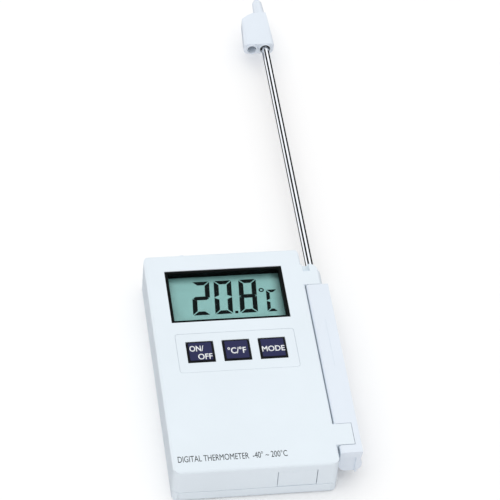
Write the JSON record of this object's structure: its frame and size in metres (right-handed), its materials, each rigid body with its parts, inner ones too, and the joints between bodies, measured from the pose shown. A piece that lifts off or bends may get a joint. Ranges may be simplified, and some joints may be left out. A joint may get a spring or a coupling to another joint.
{
  "type": "darkroom thermometer",
  "caption": "Hand-held thermometer with a display, keys, a fold-out side arm and a steel stem probe that stands in the arm's hinge axis.",
  "frame": {"origin": "centre of the case's flat back face", "axes": "+Z out of the display face, +Y towards the display end and along the probe's stem, +X towards the side arm"},
  "size_m": [0.0666, 0.2492, 0.0163],
  "materials": {
    "white_plastic": "moulded, satin",
    "bezel_black": "matt",
    "clear_pane": "clear",
    "display_glass": "satin display film",
    "reflector": "matt",
    "key_navy": "satin",
    "black_rubber": "matt",
    "board_green": "solder mask",
    "chip_black": "matt",
    "gold_contact": "plated",
    "screw_steel": "bright",
    "stem_steel": "polished",
    "copper_wire": "bright",
    "potting": "matt"
  },
  "bodies": {
    "case": {"front_shell": "white_plastic", "back_shell": "white_plastic", "case_screws": "screw_steel", "lcd_bezel": "bezel_black", "lcd_window": "clear_pane", "lcd_front_glass": "display_glass", "lcd_rear_glass": "display_glass", "lcd_reflector": "reflector", "lcd_holder": "white_plastic", "contact_strips": "black_rubber", "key_panel": "white_plastic", "keypad_mat": "black_rubber", "contact_pads": "gold_contact", "circuit_board": "board_green", "board_screws": "screw_steel", "chip_cover": "chip_black", "chip_resistors": "chip_black", "reservoir_can": "chip_black", "crystal_can": "screw_steel", "cell_contact_top": "gold_contact", "cell_contact_bottom": "gold_contact", "cable_gland": "white_plastic"},
    "key_on_off": {"key_on_off": "key_navy"},
    "key_unit": {"key_unit": "key_navy"},
    "key_mode": {"key_mode": "key_navy"},
    "drawer": {"battery_drawer": "white_plastic", "button_cell": "screw_steel"},
    "arm": {"side_arm": "white_plastic", "guide_tube": "screw_steel", "arm_washer": "screw_steel", "pivot_pin": "screw_steel"},
    "grip": {"grip_ring": "black_rubber"},
    "probe": {"probe_handle": "white_plastic", "handle_boot": "white_plastic", "handle_seal": "black_rubber", "stem_tube": "stem_steel", "stem_tip": "stem_steel", "sensor_bead": "chip_black", "sensor_leads": "copper_wire", "tip_potting": "potting"}
  },
  "joints": [
    {"name": "press_on_off", "type": "slide", "parent": "case", "child": "key_on_off", "axis": [0, 0, -1], "range_m": [0, 0.0005], "stiffness_N_per_m": 1200, "springref_m": -0.0004},
    {"name": "press_unit", "type": "slide", "parent": "case", "child": "key_unit", "axis": [0, 0, -1], "range_m": [0, 0.0005], "stiffness_N_per_m": 1200, "springref_m": -0.0004},
    {"name": "press_mode", "type": "slide", "parent": "case", "child": "key_mode", "axis": [0, 0, -1], "range_m": [0, 0.0005], "stiffness_N_per_m": 1200, "springref_m": -0.0004},
    {"name": "drawer_slide", "type": "slide", "parent": "case", "child": "drawer", "axis": [0, -1, 0], "range_m": [0, 0.0135]},
    {"name": "arm_swing", "type": "hinge", "parent": "case", "child": "arm", "pos_m": [0.0335, 0, 0.00934], "axis": [0, 1, 0], "range_deg": [0, 75]},
    {"name": "probe_turn", "type": "hinge", "parent": "case", "child": "grip", "pos_m": [0.0335, 0.0395, 0.00934], "axis": [0, 1, 0], "continuous": true},
    {"name": "probe_slide", "type": "slide", "parent": "grip", "child": "probe", "axis": [0, 1, 0], "range_m": [-0.058, 0.006]}
  ]
}
